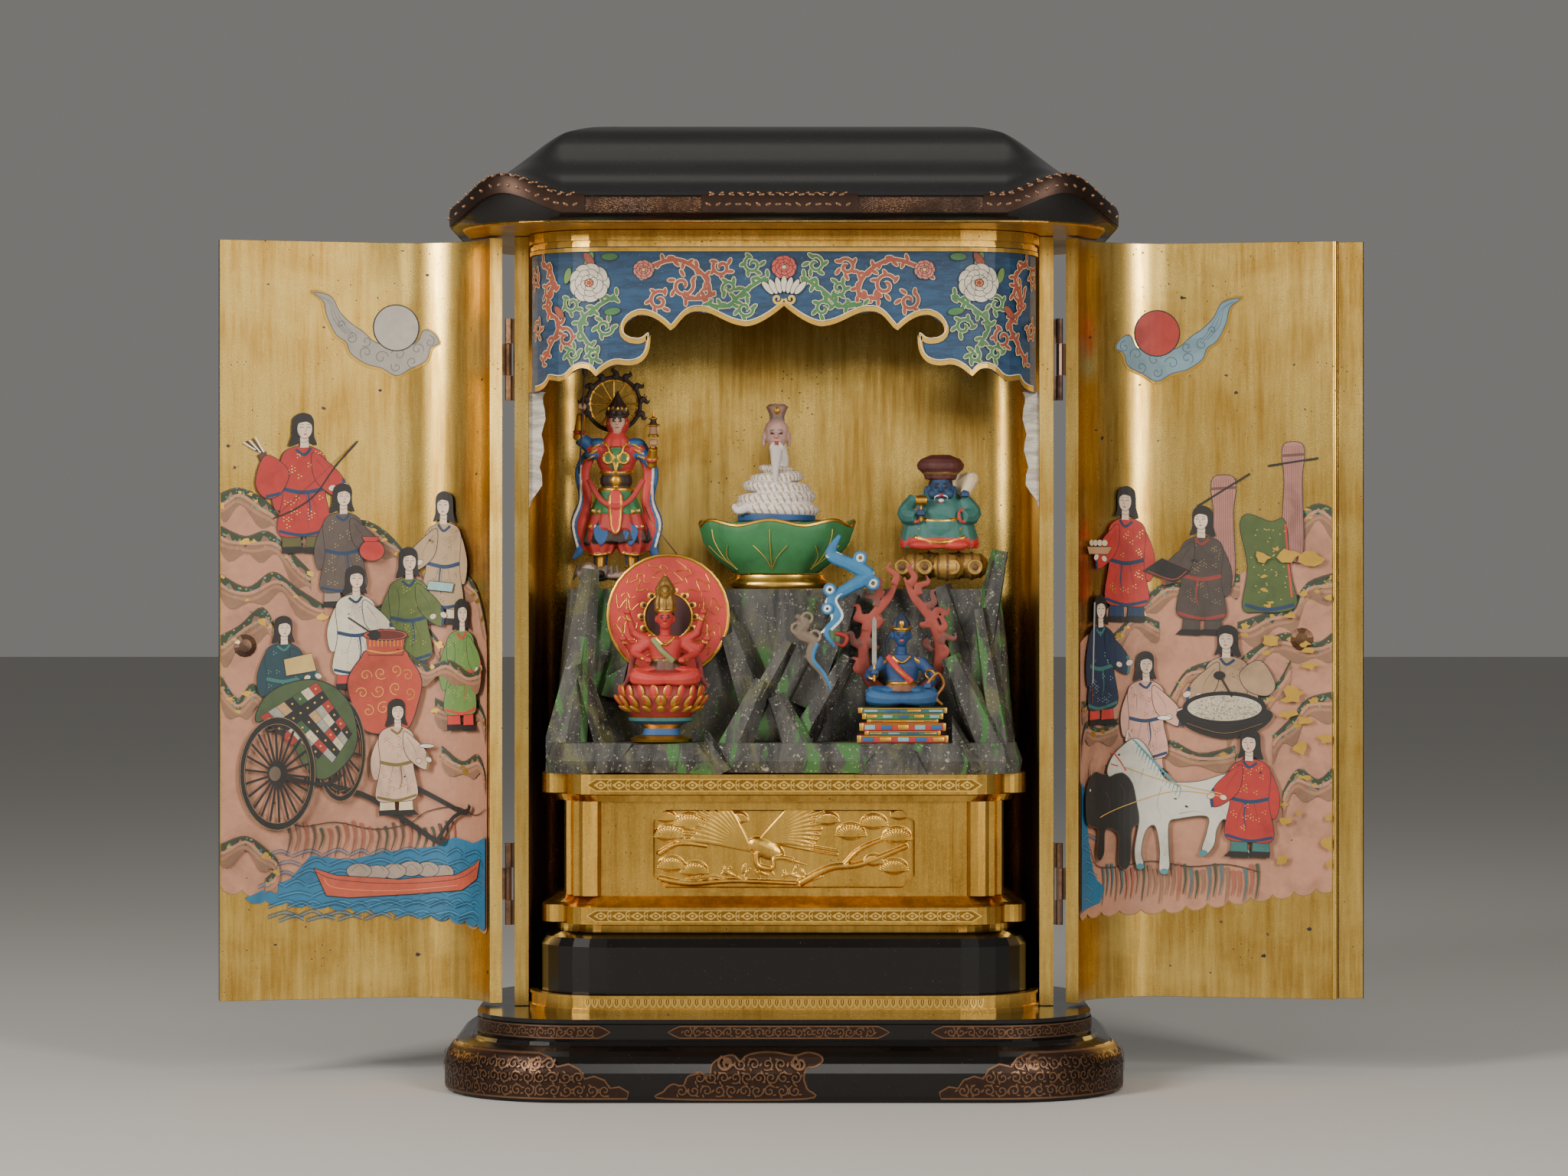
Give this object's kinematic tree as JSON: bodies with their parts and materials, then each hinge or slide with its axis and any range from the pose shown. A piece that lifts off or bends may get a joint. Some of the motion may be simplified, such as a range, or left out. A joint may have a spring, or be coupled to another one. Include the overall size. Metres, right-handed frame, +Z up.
{
  "type": "folding_shrine_box",
  "caption": "Black lacquered portable altar shrine with domed roof and bronze fittings, two painted gilt doors standing open, gilt altar and rockwork with carved deity figures inside",
  "frame": {"origin": "Centre of the plinth's flat underside, where the shrine stands", "axes": "+Z up; the open front faces -Y; +X to the right seen from the front, along the spread doors"},
  "size_m": [0.9052, 0.352, 0.7484],
  "materials": {
    "gold_leaf": "gloss",
    "black_lacquer": "gloss",
    "engraved_bronze": "satin",
    "painted_blue": "matte",
    "painted_white": "matte",
    "painted_rock": "matte",
    "painted_red": "matte",
    "painted_green": "matte",
    "painted_indigo": "matte",
    "painted_brown": "matte"
  },
  "bodies": {
    "shrine": {"plinth": "black_lacquer", "base_step": "black_lacquer", "case_shell": "black_lacquer", "sill_moulding": "gold_leaf", "dais": "black_lacquer", "altar_base": "gold_leaf", "altar_top": "gold_leaf", "altar_waist": "gold_leaf", "crane_panel": "gold_leaf", "cornice": "gold_leaf", "valance": "painted_blue", "valance_curls": "gold_leaf", "side_bracket_left": "painted_white", "side_bracket_right": "painted_white", "rockwork": "painted_rock", "guardian": "painted_indigo", "guardian_halo": "gold_leaf", "demon": "painted_white", "serpent": "painted_white", "leaf_bowl": "painted_green", "leaf_foot": "gold_leaf", "seated_elder": "painted_brown", "rice_bales": "gold_leaf", "red_figure": "painted_red", "red_halo": "painted_red", "lotus_throne": "painted_red", "blue_figure": "painted_blue", "flame_back": "painted_red", "tiered_throne": "painted_green", "cloud_ribbon": "painted_blue", "cloud_small": "painted_blue", "roof_slab": "gold_leaf", "roof_dome": "black_lacquer", "eave_band": "engraved_bronze", "plinth_corner_right": "engraved_bronze", "plinth_corner_left": "engraved_bronze", "plinth_centre": "engraved_bronze", "step_corner_right": "engraved_bronze", "step_corner_left": "engraved_bronze", "step_centre": "engraved_bronze", "case_hinge_left_lower": "engraved_bronze", "case_hinge_left_upper": "engraved_bronze", "case_hinge_right_lower": "engraved_bronze", "case_hinge_right_upper": "engraved_bronze"},
    "left_leaf": {"door_left": "black_lacquer", "door_boss_left": "engraved_bronze", "door_hinge_left_lower": "engraved_bronze", "door_hinge_left_upper": "engraved_bronze"},
    "right_leaf": {"door_right": "black_lacquer", "door_boss_right": "engraved_bronze", "cover_strip": "black_lacquer", "door_hinge_right_lower": "engraved_bronze", "door_hinge_right_upper": "engraved_bronze"}
  },
  "joints": [
    {"name": "left_door", "type": "hinge", "parent": "shrine", "child": "left_leaf", "pos_m": [-0.216, -0.045, 0.36], "axis": [0, 0, 1], "range_deg": [-14, 166]},
    {"name": "right_door", "type": "hinge", "parent": "shrine", "child": "right_leaf", "pos_m": [0.216, -0.045, 0.36], "axis": [0, 0, -1], "range_deg": [-10, 170]}
  ]
}
